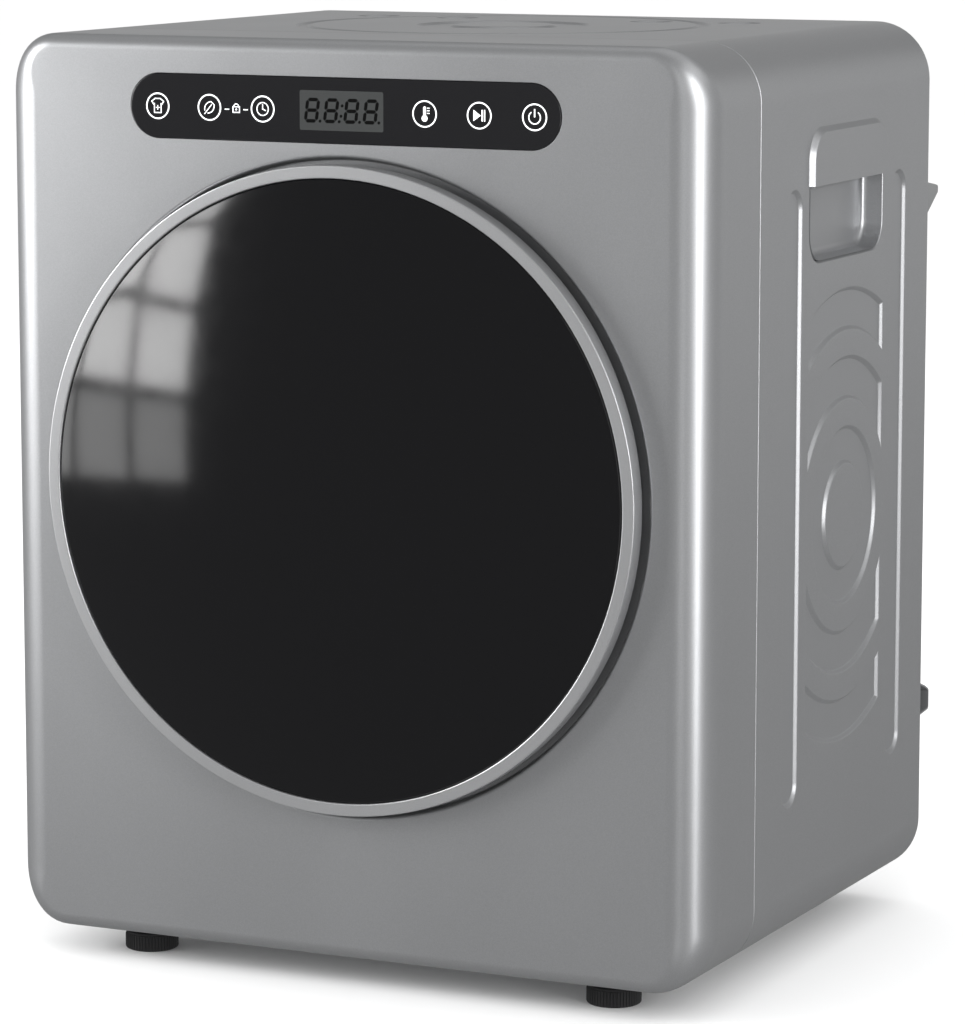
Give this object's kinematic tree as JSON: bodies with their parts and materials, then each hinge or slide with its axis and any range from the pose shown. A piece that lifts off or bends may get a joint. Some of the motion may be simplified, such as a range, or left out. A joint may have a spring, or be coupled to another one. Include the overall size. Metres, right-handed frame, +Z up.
{
  "type": "clothes dryer",
  "caption": "Compact vented clothes dryer with a round domed door, touch panel strip, pressed sides with grip pockets and levelling feet.",
  "frame": {"origin": "centre of the footprint box, on the floor under the feet", "axes": "+Z up, +X to the right seen from the front, door towards -Y"},
  "size_m": [0.497, 0.4784, 0.6],
  "materials": {
    "cabinet_paint": "satin silver-grey",
    "front_paint": "satin silver-grey",
    "satin_ring": "satin silver",
    "black_gloss": "high gloss black",
    "door_glass": "dark tinted gloss glass",
    "display": "grey display window",
    "dark_plastic": "fine matt",
    "grey_plastic": "fine matt",
    "white_plastic": "moulded",
    "zinc": "zinc-coated sheet",
    "stainless": "brushed",
    "aluminium": "die cast",
    "copper_coil": "heating fins",
    "rubber": "matt black",
    "felt": "wool felt",
    "filter_mesh": "fine mesh",
    "board": "solder mask"
  },
  "bodies": {
    "cabinet": {"base_pan": "zinc", "bearing_beam": "zinc", "blower_housing": "grey_plastic", "cabinet_wrap": "cabinet_paint", "capacitor": "white_plastic", "control_board": "board", "control_fascia": "black_gloss", "cord_gland": "rubber", "display_module": "display", "door_switch": "dark_plastic", "drive_belt": "rubber", "drum_front_seal": "felt", "drum_rear_seal": "felt", "exhaust_duct": "grey_plastic", "exhaust_hood": "grey_plastic", "front_bulkhead": "zinc", "front_panel": "front_paint", "handle_cup_left": "front_paint", "handle_cup_right": "front_paint", "heater_box": "zinc", "heater_element": "copper_coil", "hinge_bracket": "zinc", "hinge_pin": "stainless", "idler_post": "zinc", "idler_spring": "stainless", "latch_catch": "dark_plastic", "motor_body": "aluminium", "motor_mount": "zinc", "opening_collar": "grey_plastic", "power_board": "dark_plastic", "rear_bearing": "stainless", "rear_bulkhead": "zinc", "rear_panel": "zinc", "rear_spacer": "zinc", "thermostat": "dark_plastic"},
    "door": {"door_ring": "satin_ring", "door_glass": "door_glass", "door_liner": "dark_plastic", "door_seal": "rubber", "hinge_arm": "zinc", "latch_hook": "white_plastic"},
    "drum": {"drum_shell": "stainless", "drum_back": "stainless", "drum_lifter_1": "grey_plastic", "drum_lifter_2": "grey_plastic", "drum_lifter_3": "grey_plastic", "drum_hub": "zinc"},
    "lint_tray": {"lint_filter": "filter_mesh", "filter_grille": "grey_plastic"},
    "motor_rotor": {"motor_shaft": "stainless", "motor_pulley": "aluminium", "blower_wheel": "white_plastic"},
    "idler_lever": {"idler_arm": "zinc"},
    "idler_wheel": {"idler_pulley": "white_plastic"},
    "switch_button": {"switch_plunger": "white_plastic"},
    "leveller_front_left": {"foot_front_left": "rubber"},
    "leveller_front_right": {"foot_front_right": "rubber"},
    "leveller_rear_left": {"foot_rear_left": "rubber"},
    "leveller_rear_right": {"foot_rear_right": "rubber"}
  },
  "joints": [
    {"name": "door_hinge", "type": "hinge", "parent": "cabinet", "child": "door", "pos_m": [-0.203, -0.20475, 0.3198], "axis": [0, 0, -1], "range_deg": [0, 110]},
    {"name": "drum_spin", "type": "hinge", "parent": "cabinet", "child": "drum", "pos_m": [0, 0.00125, 0.3198], "axis": [0, 1, 0], "continuous": true},
    {"name": "motor_spin", "type": "hinge", "parent": "cabinet", "child": "motor_rotor", "pos_m": [0.14, 0.00125, 0.08], "axis": [0, 1, 0], "continuous": true},
    {"name": "idler_swing", "type": "hinge", "parent": "cabinet", "child": "idler_lever", "pos_m": [-0.02, -0.06075, 0.046], "axis": [0, 1, 0], "range_deg": [0, 10], "stiffness_Nm_per_rad": 2, "springref_deg": -14.32},
    {"name": "idler_spin", "type": "hinge", "parent": "idler_lever", "child": "idler_wheel", "pos_m": [0.03863, -0.06775, 0.07943], "axis": [0, 1, 0], "continuous": true},
    {"name": "filter_pull", "type": "slide", "parent": "drum", "child": "lint_tray", "axis": [0, -1, 0], "range_m": [0, 0.06]},
    {"name": "switch_press", "type": "slide", "parent": "cabinet", "child": "switch_button", "axis": [0, 1, 0], "range_m": [0, 0.004], "stiffness_N_per_m": 200, "springref_m": -0.004},
    {"name": "foot_front_left_screw", "type": "slide", "parent": "cabinet", "child": "leveller_front_left", "axis": [0, 0, -1], "range_m": [0, 0.008]},
    {"name": "foot_front_right_screw", "type": "slide", "parent": "cabinet", "child": "leveller_front_right", "axis": [0, 0, -1], "range_m": [0, 0.008]},
    {"name": "foot_rear_left_screw", "type": "slide", "parent": "cabinet", "child": "leveller_rear_left", "axis": [0, 0, -1], "range_m": [0, 0.008]},
    {"name": "foot_rear_right_screw", "type": "slide", "parent": "cabinet", "child": "leveller_rear_right", "axis": [0, 0, -1], "range_m": [0, 0.008]}
  ],
  "couplings": [
    {"joint": "motor_spin", "follows": "drum_spin", "ratio": 19.652},
    {"joint": "idler_spin", "follows": "drum_spin", "ratio": -13.333}
  ]
}
